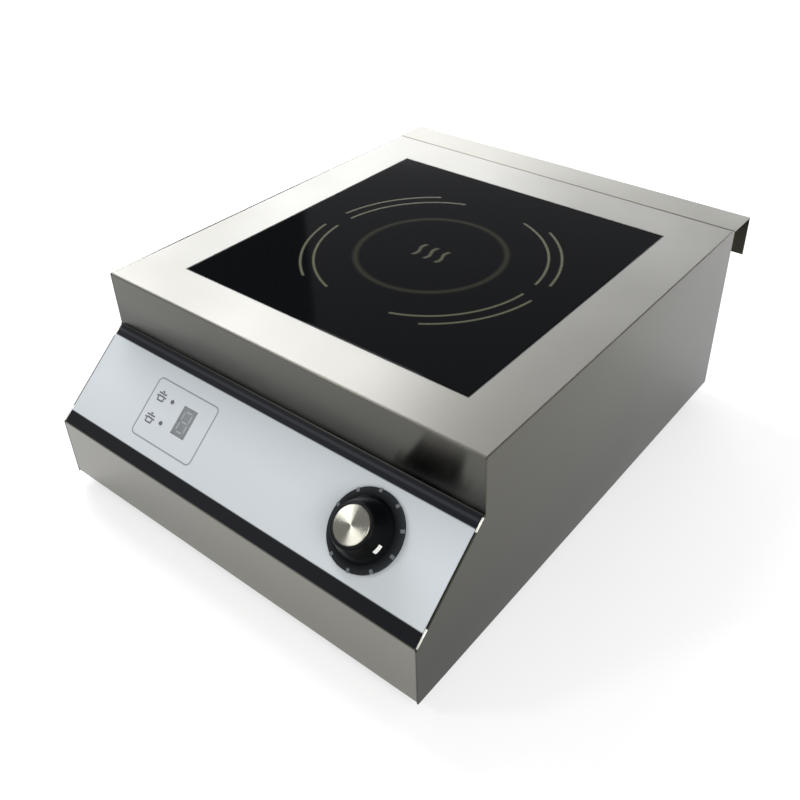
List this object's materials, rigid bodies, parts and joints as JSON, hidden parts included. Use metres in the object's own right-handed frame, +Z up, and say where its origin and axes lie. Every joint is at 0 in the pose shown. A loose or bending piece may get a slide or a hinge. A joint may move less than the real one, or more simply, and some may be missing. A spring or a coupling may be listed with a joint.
{
  "type": "induction hob",
  "caption": "Countertop induction hob: stainless housing with a flush black glass plate, a sloping control panel with a rotary knob and display, a rear hood, fans and coil inside.",
  "frame": {"origin": "centre of the footprint, on the surface that the rubber feet stand on", "axes": "+X to the right as the cook faces it, +Y to the back, +Z up"},
  "size_m": [0.396, 0.507, 0.182],
  "materials": {
    "housing_steel": "brushed stainless steel",
    "plated_steel": "zinc plated steel",
    "rubber": "black rubber",
    "silicone": "black silicone",
    "glass_ceramic": "polished black glass-ceramic",
    "printed_film": "satin printed film",
    "grey_window": "smoked grey acrylic",
    "clear_lens": "red tinted lens",
    "knob_plastic": "polished black plastic",
    "pointer_white": "white inlay",
    "spun_aluminium": "spun aluminium",
    "extruded_aluminium": "plain aluminium",
    "copper": "varnished copper litz",
    "mica": "mica paper",
    "ferrite": "dark ferrite",
    "ceramic": "white ceramic",
    "circuit_board": "green solder mask",
    "black_plastic": "moulded black plastic",
    "white_plastic": "moulded white plastic",
    "brass": "turned brass",
    "lead_insulation": "silicone insulated wire",
    "yellow_case": "moulded capacitor case"
  },
  "bodies": {
    "housing": {"top_cover": "housing_steel", "left_side_panel": "housing_steel", "right_side_panel": "housing_steel", "rear_panel": "housing_steel", "base_plate": "housing_steel", "base_screws": "plated_steel", "rear_screws": "plated_steel", "rubber_feet": "rubber", "foot_screws": "plated_steel", "glass_plate": "glass_ceramic", "glass_seal": "silicone", "glass_support_frame": "plated_steel", "mica_sheet": "mica", "coil_winding": "copper", "coil_disc": "black_plastic", "ferrite_bars": "ferrite", "coil_shield": "extruded_aluminium", "coil_posts": "black_plastic", "coil_straps": "plated_steel", "temperature_sensor": "ceramic", "sensor_spring": "plated_steel", "control_overlay": "printed_film", "display_window": "grey_window", "indicator_lenses": "clear_lens", "display_board": "circuit_board", "display_studs": "plated_steel", "digit_display": "black_plastic", "indicator_leds": "clear_lens", "pot_body": "black_plastic", "pot_washer": "plated_steel", "pot_nut": "brass", "left_fan_frame": "black_plastic", "right_fan_frame": "black_plastic", "fan_screws": "plated_steel", "power_board": "circuit_board", "board_standoffs": "brass", "board_screws": "plated_steel", "heat_sink": "extruded_aluminium", "power_transistors": "black_plastic", "rectifier_bridge": "black_plastic", "film_capacitors": "yellow_case", "filter_choke": "ferrite", "supply_transformer": "ferrite", "board_connectors": "white_plastic", "gland_body": "black_plastic", "gland_locknut": "black_plastic", "gland_seal": "rubber", "gland_nut": "black_plastic", "terminal_block": "white_plastic", "earth_stud": "brass", "coil_leads": "lead_insulation", "mains_leads": "lead_insulation", "signal_leads": "lead_insulation"},
    "control_knob": {"knob_body": "knob_plastic", "knob_cap": "spun_aluminium", "knob_pointer": "pointer_white", "knob_clip": "plated_steel", "pot_shaft": "brass"},
    "left_fan": {"left_fan_rotor": "black_plastic"},
    "right_fan": {"right_fan_rotor": "black_plastic"}
  },
  "joints": [
    {"name": "knob_turn", "type": "hinge", "parent": "housing", "child": "control_knob", "pos_m": [0.123, -0.21435, 0.10017], "axis": [0, -0.6441, 0.7649], "range_deg": [-28.5, 241.5]},
    {"name": "left_fan_spin", "type": "hinge", "parent": "housing", "child": "left_fan", "pos_m": [-0.066, -0.0735, 0.0102], "axis": [0, 0, 1], "continuous": true},
    {"name": "right_fan_spin", "type": "hinge", "parent": "housing", "child": "right_fan", "pos_m": [0.066, -0.0735, 0.0102], "axis": [0, 0, 1], "continuous": true}
  ]
}
